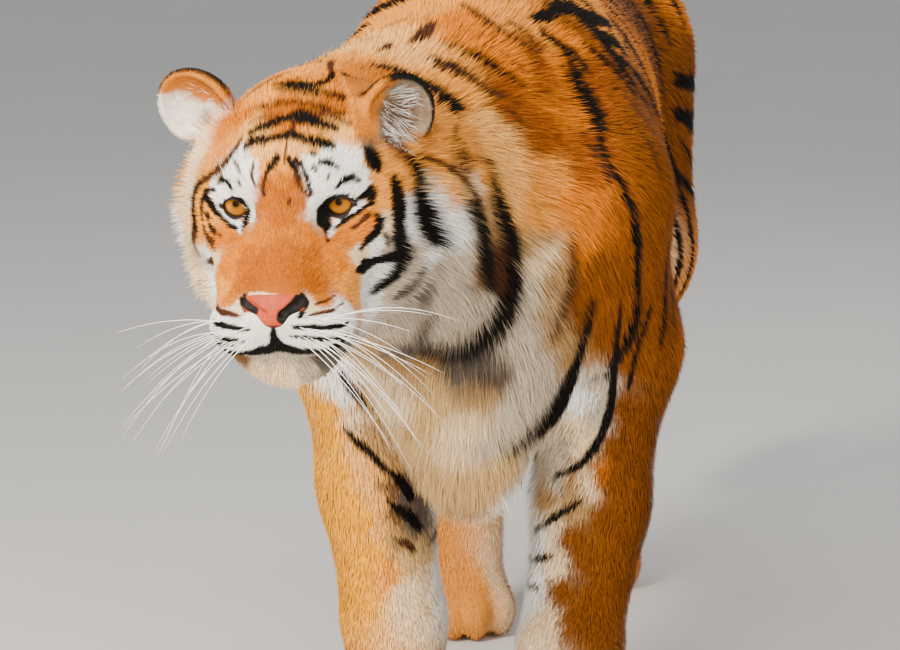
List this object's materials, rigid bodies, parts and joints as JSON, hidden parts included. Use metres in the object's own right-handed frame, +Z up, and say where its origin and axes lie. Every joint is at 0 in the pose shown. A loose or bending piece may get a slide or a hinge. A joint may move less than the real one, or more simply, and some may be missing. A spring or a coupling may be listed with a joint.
{
  "type": "tiger",
  "caption": "Life-size still model of a large striped cat, a tiger, stepping forward with its head lowered and its long tail curled up behind.",
  "frame": {"origin": "on the floor, under the middle of the whole animal's box", "axes": "the tiger faces -Y, its left side is +X, +Z is up; the floor is Z = 0"},
  "size_m": [0.5706, 2.4035, 0.9751],
  "materials": {
    "coat_orange": "dense short fur, orange with black stripes",
    "coat_cream": "long soft fur, cream to white",
    "nose_leather": "bare damp skin, salmon pink",
    "eye": "wet and glossy, amber"
  },
  "bodies": {
    "root": {"head": "coat_orange", "lower_jaw": "coat_cream", "nose": "nose_leather", "ear_left": "coat_orange", "ear_right": "coat_orange", "eye_left": "eye", "eye_right": "eye", "neck": "coat_orange", "chest": "coat_cream", "belly": "coat_orange", "hindquarters": "coat_orange", "upper_arm_left": "coat_orange", "forearm_left": "coat_orange", "fore_paw_left": "coat_cream", "upper_arm_right": "coat_orange", "forearm_right": "coat_orange", "fore_paw_right": "coat_cream", "thigh_left": "coat_orange", "shank_left": "coat_orange", "hind_paw_left": "coat_cream", "thigh_right": "coat_orange", "shank_right": "coat_orange", "hind_paw_right": "coat_cream", "tail_base": "coat_orange", "tail_middle": "coat_orange", "tail_tip": "coat_orange"}
  },
  "joints": []
}
